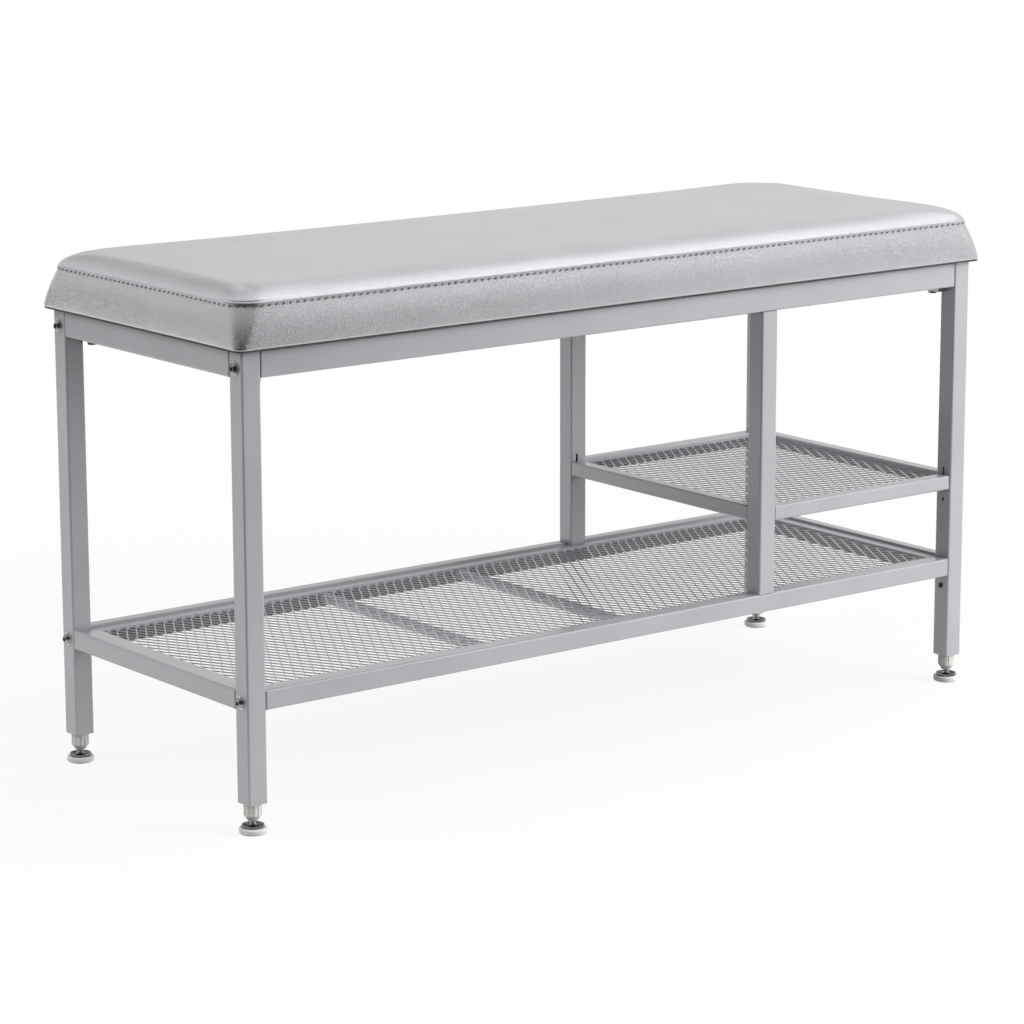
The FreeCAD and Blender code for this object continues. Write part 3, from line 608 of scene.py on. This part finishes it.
def cover_profile(seat):
    """Levels of the cover from its turned-in edge up to the top panel.

    Each level is a name, an outset, a height, a corner radius and a bulge.
    """
    base = seat_low.z + base_gap
    seam = seat_low.z + seat.seam_height
    stitch = seam - seat.stitch_drop
    hem = base + seat.hem_height
    rows = [
        ("hem", -seat.tuck, base + hem_turn_up),
        ("hem", -seat.tuck, base),
        ("hem", -seat.hem_inset - hem_fold, base),
        ("hem", -seat.hem_inset, base + hem_fold),
        ("hem", -seat.hem_inset, hem - hem_crease),
        ("held", -seat.hem_inset, hem),
    ]
    rows += [("held", outset, hem + rise) for outset, rise in rolled_edge]
    band_foot = rows[-1][2]
    band_head = stitch - furrow
    for step in range(1, band_steps + 1):
        share = step / band_steps
        rows.append(("band", -seat.flare * share, band_foot + (band_head - band_foot) * share))
    rows += [
        ("stitch", -seat.flare - seat.stitch_pull, stitch),
        ("strip", -seat.flare, stitch + furrow),
        ("strip", -seat.flare, seam - seam_crease),
        ("seam", -seat.flare - seat.seam_depth, seam),
    ]
    edge_foot = seam + seam_crease
    edge_head = seat_high.z - seat.crown
    low_sine, low_cosine = math.sin(seat.edge_start), math.cos(seat.edge_start)
    for step in range(edge_steps + 1):
        turn = seat.edge_start + (math.pi / 2 - seat.edge_start) * step / edge_steps
        inward = seat.edge_reach * (1 - math.cos(turn) / low_cosine)
        rise = (math.sin(turn) - low_sine) / (1 - low_sine)
        rows.append(("edge", -seat.flare - inward, edge_foot + (edge_head - edge_foot) * rise))
    levels = []
    for name, outset, height in rows:
        share = min(max((height - base) / (seam - base), 0), 1)
        radius = seat.base_corner + (seat.seam_corner - seat.base_corner) * share
        if name in ("hem", "held"):
            radius += outset
        if name == "edge":
            radius += seat.corner_tightening * (outset + seat.flare)
        bulge = 0.0
        if name == "band":
            climb = (height - band_foot) / (band_head - band_foot)
            bulge = seat.band_bulge * math.sin(math.pi * climb)
        levels.append((name, outset + bulge / 2, height, radius, bulge))
    return levels


def side_counts(seat):
    """Steps along a long side, a short side and a corner of the cover."""
    along = round(2 * (seat_high.x - seat.seam_corner) / cover_step)
    across = round(2 * (seat_high.y - seat.seam_corner) / cover_step)
    return along, across, corner_steps


def rim_loop(seat, level):
    """Points round the seat at one level, its sides drawn in or bulged out between the corners."""
    outset, height, radius, bulge = level[1:]
    along, across, corner = side_counts(seat)
    flat = Vector((seat_high.x + outset - radius, seat_high.y + outset - radius))
    quarters = ((1, 1), (-1, 1), (-1, -1), (1, -1))
    centres = [Vector((x * flat.x, y * flat.y)) for x, y in quarters]
    loop = []
    for quarter, centre in enumerate(centres):
        headings = [(quarter + step / corner) * math.pi / 2 for step in range(corner + 1)]
        normals = [Vector((math.cos(turn), math.sin(turn))) for turn in headings]
        arc = [centre + radius * normal for normal in normals]
        out = normals[-1]
        end = centres[(quarter + 1) % 4] + radius * out
        steps = along if quarter % 2 == 0 else across
        side = []
        for step in range(1, steps):
            share = step / steps
            from_middle = abs(2 * share - 1)
            rounding = bulge / 2 * (1 - from_middle ** 8)
            draw = seat.side_draw * (1 - from_middle ** 2)
            side.append(arc[-1].lerp(end, share) + out * (rounding - draw))
        loop.extend(arc + side)
    return [Vector((spot.x, spot.y, height)) for spot in loop]


def panel_edge(seat, loop_start):
    """Columns and rows of a panel inside one level, and the level's points by column and row."""
    along, across, corner = side_counts(seat)
    columns = along + corner
    rows = across + corner
    count = 2 * (columns + rows)
    first = corner // 2
    grid = {}
    for column in range(columns + 1):
        grid[column, 0] = loop_start + (first + column) % count
        grid[column, rows] = loop_start + (first + 2 * columns + rows - column) % count
    for row in range(rows + 1):
        grid[columns, row] = loop_start + (first + columns + row) % count
        grid[0, row] = loop_start + (first + 2 * columns + 2 * rows - row) % count
    return columns, rows, grid


def under_panel(seat, faces):
    """Close the first level of the cover with strips from front to back."""
    columns, rows, grid = panel_edge(seat, 0)
    for column in range(columns):
        spots = ((column, 0), (column, rows), (column + 1, rows), (column + 1, 0))
        faces.append(tuple(grid[spot] for spot in spots))
    faces.append(tuple(grid[0, row] for row in range(rows + 1)))
    faces.append(tuple(grid[columns, rows - row] for row in range(rows + 1)))


def top_panel(seat, points, faces, loop_start):
    """Fill the last level of the cover with a crowned grid that takes up the level's own points."""
    columns, rows, grid = panel_edge(seat, loop_start)
    rim = points[loop_start:]
    reach = Vector((max(spot.x for spot in rim), max(spot.y for spot in rim)))
    for column in range(1, columns):
        for row in range(1, rows):
            u, v = column / columns, row / rows
            spot = points[grid[column, 0]].lerp(points[grid[column, rows]], v)
            spot = spot + points[grid[0, row]].lerp(points[grid[columns, row]], u)
            near = points[grid[0, 0]].lerp(points[grid[columns, 0]], u)
            far = points[grid[0, rows]].lerp(points[grid[columns, rows]], u)
            spot = spot - near.lerp(far, v)
            crown = (1 - (spot.x / reach.x) ** 4) * (1 - (spot.y / reach.y) ** 4)
            spot.z += (seat.crown - seat.swell) * crown
            grid[column, row] = len(points)
            points.append(spot)
    for column in range(columns):
        for row in range(rows):
            corners = ((0, 0), (1, 0), (1, 1), (0, 1))
            faces.append(tuple(grid[column + right, row + up] for right, up in corners))


def sewn_cover(seat):
    """Points and faces of the closed cover, its held points, and how many faces the hem takes."""
    levels = cover_profile(seat)
    points = []
    held = []
    for level in levels:
        loop = rim_loop(seat, level)
        if level[0] in ("hem", "held", "stitch", "seam"):
            held.extend(range(len(points), len(points) + len(loop)))
        points.extend(loop)
    count = len(loop)
    faces = []
    under_panel(seat, faces)
    hem_faces = len(faces) + count * len([level for level in levels if level[0] == "hem"])
    join_rings(faces, 0, count, len(levels))
    top_panel(seat, points, faces, (len(levels) - 1) * count)
    return points, faces, held, hem_faces


def eased(moves, mesh, held):
    """Moves of a mesh's points, free ones drawn halfway to their neighbours' mean in each round."""
    fixed = set(held)
    near = [[] for move in moves]
    for edge in mesh.edges:
        first, second = edge.vertices
        near[first].append(second)
        near[second].append(first)
    for step in range(ease_rounds):
        means = [sum((moves[other] for other in others), Vector()) / len(others) for others in near]
        moves = [
            move if spot in fixed else move.lerp(means[spot], 0.5)
            for spot, move in enumerate(moves)
        ]
    return moves


def swell_cover(cushion, held, seat):
    """Let the padding press the cover out between its seams, as cloth, up to the swell."""
    group = cushion.vertex_groups.new(name="held")
    group.add(held, 1.0, "REPLACE")
    padding = cushion.modifiers.new("padding", "CLOTH")
    padding.settings.quality = 3
    padding.settings.use_pressure = True
    padding.settings.uniform_pressure_force = seat.pressure
    padding.settings.vertex_group_mass = group.name
    padding.settings.effector_weights.gravity = 0
    padding.point_cache.frame_start = 1
    padding.point_cache.frame_end = cloth_frames
    scene = bpy.context.scene
    for step in range(1, cloth_frames + 1):
        scene.frame_set(step)
    swollen = cushion.evaluated_get(bpy.context.evaluated_depsgraph_get()).data
    vertices = cushion.data.vertices
    moves = [after.co - before.co for before, after in zip(vertices, swollen.vertices)]
    cushion.modifiers.remove(padding)
    scene.frame_set(1)
    for vertex, move in zip(vertices, eased(moves, cushion.data, held)):
        if move.length > 0:
            vertex.co += move.normalized() * seat.swell * math.tanh(move.length / seat.swell)


def evenly_along(loop, pitch):
    """Points a near-even pitch apart on a closed loop, each with the loop's direction there."""
    runs = list(zip(loop, loop[1:] + loop[:1]))
    lengths = [(ahead - spot).length for spot, ahead in runs]
    count = round(sum(lengths) / pitch)
    step = sum(lengths) / count
    marks = []
    gone = 0.0
    for (spot, ahead), length in zip(runs, lengths):
        while len(marks) < count and len(marks) * step <= gone + length:
            share = (len(marks) * step - gone) / length
            marks.append((spot.lerp(ahead, share), (ahead - spot).normalized()))
        gone += length
    return marks


def sew_stitches(cushion, seat):
    """Row of slanted stitches round the cover, each a short thread that arches out of its holes."""
    level = [row for row in cover_profile(seat) if row[0] == "stitch"][0]
    surface = BVHTree.FromObject(cushion, bpy.context.evaluated_depsgraph_get())
    turns = [side / thread_sides * math.tau for side in range(thread_sides)]
    points = []
    faces = []
    for mark, along in evenly_along(rim_loop(seat, level), seat.stitch_pitch):
        spot, out = surface.find_nearest(mark)[:2]
        up = out.cross(along).normalized()
        run = along * math.cos(seat.stitch_slant) + up * math.sin(seat.stitch_slant)
        side = run.cross(out).normalized()
        path = []
        for share in (-1, -0.5, 0, 0.5, 1):
            lift = (stitch_arch * (1 - share ** 2) - stitch_sink) * seat.thread_radius
            path.append(spot + run * share * seat.stitch_length / 2 + out * lift)
        section = [seat.thread_radius * (side * math.cos(t) + out * math.sin(t)) for t in turns]
        swept(points, faces, path, section)
    # The thread's dark colour also gives the painted shade of the needle holes
    finish = twisted_thread("seat_thread_grey", seat.thread_and_hole_shade_colour)
    new_piece("seat_stitches", points, faces, finish, "frame")


def stretch_base_cloth(finish):
    """Thin cloth stretched under the board, with the slack of hand stapling in it."""
    low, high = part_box("seat_base_cloth")
    columns, rows = 72, 26
    points = []
    for row in range(rows + 1):
        for column in range(columns + 1):
            x = low.x + (high.x - low.x) * column / columns
            y = low.y + (high.y - low.y) * row / rows
            slack = noise.noise(Vector((x * 9, y * 14, 0.5))) * cloth_slack
            points.append(Vector((x, y, (low.z + high.z) / 2 + slack)))
    faces = []
    for row in range(rows):
        for column in range(columns):
            start = row * (columns + 1) + column
            faces.append((start, start + columns + 1, start + columns + 2, start + 1))
    cloth = new_piece("seat_base_sheet", points, faces, finish, "frame")
    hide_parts("seat_base_cloth")


def cut_thread(corner, screw, finish):
    """Levelling screw with its thread, in place of the plain rod of one foot."""
    low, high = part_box("foot_stem_" + corner)
    middle = (low + high) / 2
    radius = (high.x - low.x) / 2
    length = high.z - low.z
    sides, rows_per_turn = 16, 4
    rows = round(length / screw.thread_pitch * rows_per_turn)
    points = []
    for row in range(rows + 1):
        height = length * row / rows
        chamfer = max(screw_chamfer - min(height, length - height), 0)
        for side in range(sides):
            turn = side / sides
            phase = (height / screw.thread_pitch - turn) % 1
            ridge = abs(2 * phase - 1)
            reach = min(radius - screw.thread_depth * (1 - ridge), radius - chamfer)
            angle = turn * math.tau
            across = Vector((math.cos(angle), math.sin(angle), 0)) * reach
            points.append(Vector((middle.x, middle.y, low.z + height)) + across)
    faces = [tuple(reversed(range(sides))), tuple(rows * sides + side for side in range(sides))]
    join_rings(faces, 0, sides, rows + 1)
    name = "levelling_screw_" + corner
    piece = new_piece(name, points, faces, finish, "screw_" + corner)
    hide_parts("foot_stem_" + corner)


class BENCH_OT_paint_frame(bpy.types.Operator):
    """Paint the tubes of the frame, the shelf hooks and the seat tabs"""

    bl_idname = "bench.paint_frame"
    bl_label = "Paint frame"

    def execute(self, context):
        colour = context.scene.bench_frame.paint_colour
        painted = nodes_of("frame_paint")
        # Every tube paint gets painted shade in its crevices and joints
        give_finish(painted, satin_paint("frame_paint_satin", colour, crevice_shade=0.5, **tube_paint))
        for shelf in ("lower", "mid"):
            rails = [name for name in painted if name.startswith(shelf + "_rail")]
            # The shelf rails also get painted shade below their net
            give_finish(rails, satin_paint(
                shelf + "_rail_paint_satin", colour, crevice_shade=0.2, net=shelf + "_net", **tube_paint))
        # Painted light: the cross bars get a lighter copy of the frame paint
        cross_bars = ["lower_cross_bar_left", "lower_cross_bar_right"]
        lighter = shaded(colour, cross_bar_painted_light_share)
        give_finish(cross_bars, satin_paint(
            "cross_bar_paint_satin", lighter, crevice_shade=0.1, **tube_paint))
        return {"FINISHED"}


class BENCH_OT_fit_hardware(bpy.types.Operator):
    """Finish the plated bolts, washers and nuts, and cut the threads of the levelling screws"""

    bl_idname = "bench.fit_hardware"
    bl_label = "Fit hardware"

    def execute(self, context):
        settings = context.scene.bench_frame
        zinc = settings.zinc_colour
        plated = plated_steel("zinc_plating", zinc)
        give_finish(nodes_of("zinc_steel"), plated)
        # Painted light and shade: the washers get a lighter copy of the zinc, the bolt heads a
        # darker one
        give_finish(["frame_washers"], plated_steel("washer_plating", shaded(zinc, washer_painted_light_share)))
        give_finish(["frame_bolts"], plated_steel("bolt_plating", shaded(zinc, bolt_painted_shade_share)))
        dark = plated_steel("dark_plating", settings.dish_colour)
        for corner in corner_names:
            give_finish(["foot_dish_" + corner], dark)
            cut_thread(corner, settings, plated)
        return {"FINISHED"}


class BENCH_OT_mould_plastics(bpy.types.Operator):
    """Finish the foot bushes, glide pads, plugs and caps"""

    bl_idname = "bench.mould_plastics"
    bl_label = "Mould plastics"

    def execute(self, context):
        colours = context.scene.bench_frame
        white = moulded_plastic(
            "white_plastic_moulded", colours.white_plastic_colour, glow=0.25, roughness=0.3)
        black = moulded_plastic(
            "black_plastic_moulded", colours.black_plastic_colour, glow=0.0, roughness=0.38)
        give_finish(nodes_of("white_plastic"), white)
        give_finish(nodes_of("black_plastic"), black)
        return {"FINISHED"}


class BENCH_OT_press_mesh(bpy.types.Operator):
    """Make the expanded mesh of both shelves at its true density"""

    bl_idname = "bench.press_mesh"
    bl_label = "Press shelf mesh"

    def execute(self, context):
        shelf = context.scene.bench_shelf
        finish = satin_paint("mesh_paint_satin", shelf.mesh_colour, crevice_shade=0.0, **mesh_paint)
        for node in ("lower_net", "mid_net"):
            expanded_mesh(node, shelf, finish)
        return {"FINISHED"}


class BENCH_OT_stuff_seat(bpy.types.Operator):
    """Sew the seat cover, swell it over its padding, stitch it and stretch the cloth underneath"""

    bl_idname = "bench.stuff_seat"
    bl_label = "Stuff seat"

    def execute(self, context):
        seat = context.scene.bench_seat
        points, faces, held, hem_faces = sewn_cover(seat)
        leather = grained_leather("seat_leather_silver", seat.cover_colour)
        cloth = bonded_cloth("base_cloth_black", seat.cloth_colour)
        cushion = new_piece("seat_cushion", points, faces, leather, "frame")
        cushion.data.materials.append(cloth)
        # The hem takes the black cloth, which also gives the shade line under the seat's edge
        for face in cushion.data.polygons[:hem_faces]:
            face.material_index = 1
        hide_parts("seat_cover", "seat_foam")
        swell_cover(cushion, held, seat)
        finer = cushion.modifiers.new("finer", "SUBSURF")
        finer.levels = 1
        finer.render_levels = 1
        sew_stitches(cushion, seat)
        stretch_base_cloth(cloth)
        give_finish(["seat_board"], raw_board("seat_board_ply", colour_of("seat_wood")))
        return {"FINISHED"}


class BENCH_OT_set_stage(bpy.types.Operator):
    """Lay the floor, hang the lamps and dark cards, and stand the camera"""

    bl_idname = "bench.set_stage"
    bl_label = "Set stage"

    def execute(self, context):
        stage = context.scene.bench_stage
        context.scene.view_settings.view_transform = "Standard"
        lay_floor(stage)
        light_room(context.scene, stage)
        hang_lamp(
            "key_lamp", place=(1.75, -2.0, 0.95), target=(0.1, -0.1, 0.3), size=(1.8, 1.2),
            power=stage.key_power, mirrored=False)
        hang_lamp(
            "top_lamp", place=(1.6, -0.7, 2.6), target=(0.2, -0.1, 0.45), size=(2.4, 2.0),
            power=stage.top_power, mirrored=True)
        hang_lamp(
            "band_lamp", place=(1.9, -2.4, 1.9), target=(0.1, -0.15, 0.46), size=(1.8, 1.2),
            power=stage.band_power, mirrored=True)
        hang_lamp(
            "left_lamp", place=(-2.2, 0.6, 1.3), target=(-0.3, 0, 0.4), size=(1.6, 1.6),
            power=stage.left_power, mirrored=False)
        hang_dark_surround(stage)
        hang_dark_flag(stage)
        stand_camera(context.scene, stage)
        return {"FINISHED"}


def background_rays(tree):
    """1 for rays that see the plain white background: camera, glossy and transmission rays."""
    path = add_node(tree, "ShaderNodeLightPath").outputs
    seen = number_math(tree, "MAXIMUM", path["Is Camera Ray"], path["Is Glossy Ray"])
    return number_math(tree, "MAXIMUM", seen, path["Is Transmission Ray"])


def lay_floor(stage):
    """Wide pale floor that reads as white and keeps the bench's soft shadow."""
    half_width = 40
    mesh = bpy.data.meshes.new("studio_floor")
    sheet = bmesh.new()
    bmesh.ops.create_grid(sheet, x_segments=8, y_segments=8, size=half_width)
    sheet.to_mesh(mesh)
    sheet.free()
    new_object("studio_floor", mesh)
    finish = bpy.data.materials.new("studio_floor_pale")
    finish.use_nodes = True
    tree = finish.node_tree
    tree.nodes.clear()
    lit = add_node(tree, "ShaderNodeBsdfDiffuse", {"Color": (*stage.floor_colour, 1)})
    pale = add_node(tree, "ShaderNodeBsdfDiffuse", {"Color": (0.9, 0.9, 0.9, 1)})
    white = add_node(tree, "ShaderNodeEmission", {"Strength": 1.0})
    spread = vector_math(tree, "LENGTH", add_node(tree, "ShaderNodeTexCoord").outputs["Object"])
    near_whiteness, fade_start, fade_end = 0.88, 0.6, 1.6
    whiteness = number_between(tree, spread, near_whiteness, 1.0, fade_start, fade_end)
    seen = add_node(
        tree, "ShaderNodeMixShader", {0: whiteness, 1: pale.outputs[0], 2: white.outputs[0]})
    mixed = add_node(
        tree, "ShaderNodeMixShader",
        {0: background_rays(tree), 1: lit.outputs[0], 2: seen.outputs[0]})
    add_node(tree, "ShaderNodeOutputMaterial", {"Surface": mixed.outputs[0]})
    mesh.materials.append(finish)


def light_room(scene, stage):
    """World that is plain white to camera and reflections, and as light is brighter on one side."""
    world = bpy.data.worlds.new("studio_room")
    scene.world = world
    world.use_nodes = True
    world.cycles.sampling_method = "NONE"
    tree = world.node_tree
    tree.nodes.clear()
    heading = add_node(tree, "ShaderNodeTexCoord").outputs["Generated"]
    toward = vector_math(tree, "DOT_PRODUCT", heading, stage.bright_side)
    glow = number_between(tree, toward, stage.dim_light, stage.bright_light)
    strength = number_between(tree, background_rays(tree), glow, 1.0)
    white = add_node(tree, "ShaderNodeBackground", {"Strength": strength})
    add_node(tree, "ShaderNodeOutputWorld", {"Surface": white.outputs[0]})


def hang_lamp(name, place, target, size, power, mirrored):
    """Rectangular soft lamp aimed at a point, mirrored where glossy surfaces show it."""
    light = bpy.data.lights.new(name, "AREA")
    light.shape = "RECTANGLE"
    light.size, light.size_y = size
    light.energy = power
    lamp = new_object(name, light)
    lamp.location = place
    aim = Vector(target) - Vector(place)
    lamp.rotation_mode = "QUATERNION"
    lamp.rotation_quaternion = aim.to_track_quat("-Z", "Y")
    lamp.visible_glossy = mirrored


def hang_card(name, stage, points, faces):
    """Dark card that reflections alone can see."""
    mesh = bpy.data.meshes.new(name)
    mesh.from_pydata(points, [], faces)
    colour = (*stage.card_colour, 1)
    mesh.materials.append(new_finish(name + "_matt", base_color=colour, roughness=1.0)[0])
    card = new_object(name, mesh)
    card.visible_camera = False
    card.visible_diffuse = False
    card.visible_shadow = False


def hang_dark_surround(stage):
    """Dark wall on the camera's side, falling to a skirting at its ends, and dark floor below."""
    left, right, fade = math.radians(-135), math.radians(75), math.radians(24)
    distance, wall_height, skirting_height = 4.2, 4.2, 0.5
    floor_start, left_floor_start = 0.8, 2.8
    above_floor = Vector((0, 0, 2 * mm))
    columns = 60
    points = []
    for column in range(columns + 1):
        swing = left + (right - left) * column / columns
        turn = stage.camera_azimuth + swing
        out = Vector((math.sin(turn), -math.cos(turn), 0))
        fall = min(max((right - abs(swing)) / fade, 0), 1)
        fall = fall * fall * (3 - 2 * fall)
        height = skirting_height + (wall_height - skirting_height) * fall
        far = left_floor_start if swing < 0 else distance
        near = far + (floor_start - far) * fall
        foot = out * distance
        points.extend((out * near + above_floor, foot, foot + Vector((0, 0, height))))
    faces = []
    for low in range(0, 3 * columns, 3):
        faces.extend(((low, low + 3, low + 4, low + 1), (low + 1, low + 4, low + 5, low + 2)))
    hang_card("dark_surround", stage, points, faces)


def hang_dark_flag(stage):
    """Dark card high at the back, which draws the dark band along the seat's left edge."""
    distance, half_size = 4.0, 0.7
    seat_left = Vector((-0.4, 0, seat_high.z))
    out = Vector((0.2, 0.77, 0.58)).normalized()
    across = out.cross(Vector((0, 0, 1))).normalized()
    up = across.cross(out)
    middle = seat_left + out * distance
    wide, tall = across * half_size, up * half_size
    corners = [middle + x * wide + z * tall for x, z in quad]
    hang_card("dark_flag", stage, corners, [(0, 1, 2, 3)])


def stand_camera(scene, stage):
    """Camera at the photograph's place and angle."""
    data = bpy.data.cameras.new("photo_camera")
    data.sensor_width = 36
    data.lens = stage.lens
    camera = new_object("photo_camera", data)
    azimuth, elevation = stage.camera_azimuth, stage.camera_elevation
    back = Vector((
        math.sin(azimuth) * math.cos(elevation),
        -math.cos(azimuth) * math.cos(elevation),
        math.sin(elevation),
    ))
    turn = (-back).to_track_quat("-Z", "Y").to_matrix().to_4x4()
    roll = Matrix.Rotation(stage.camera_roll, 4, "Z")
    camera.matrix_world = Matrix.Translation(stage.camera_place) @ turn @ roll
    scene.camera = camera


class BENCH_PT_build(bpy.types.Panel):
    """Lists the steps that build the bench's looks"""

    bl_label = "Storage bench"
    bl_idname = "BENCH_PT_build"
    bl_space_type = "VIEW_3D"
    bl_region_type = "UI"
    bl_category = "Bench"

    def draw(self, context):
        for step in steps:
            self.layout.operator(step.bl_idname)


steps = (
    BENCH_OT_paint_frame,
    BENCH_OT_fit_hardware,
    BENCH_OT_mould_plastics,
    BENCH_OT_press_mesh,
    BENCH_OT_stuff_seat,
    BENCH_OT_set_stage,
)
groups = {
    "bench_seat": SeatProperties,
    "bench_shelf": ShelfProperties,
    "bench_frame": FrameProperties,
    "bench_stage": StageProperties,
}


def register():
    for name, group in groups.items():
        bpy.utils.register_class(group)
        setattr(bpy.types.Scene, name, PointerProperty(type=group))
    for made in (*steps, BENCH_PT_build):
        bpy.utils.register_class(made)


def unregister():
    for made in (BENCH_PT_build, *reversed(steps)):
        bpy.utils.unregister_class(made)
    for name, group in groups.items():
        delattr(bpy.types.Scene, name)
        bpy.utils.unregister_class(group)


def main():
    register()
    for step in steps:
        family, name = step.bl_idname.split(".")
        getattr(getattr(bpy.ops, family), name)()


if __name__ == "__main__":
    main()
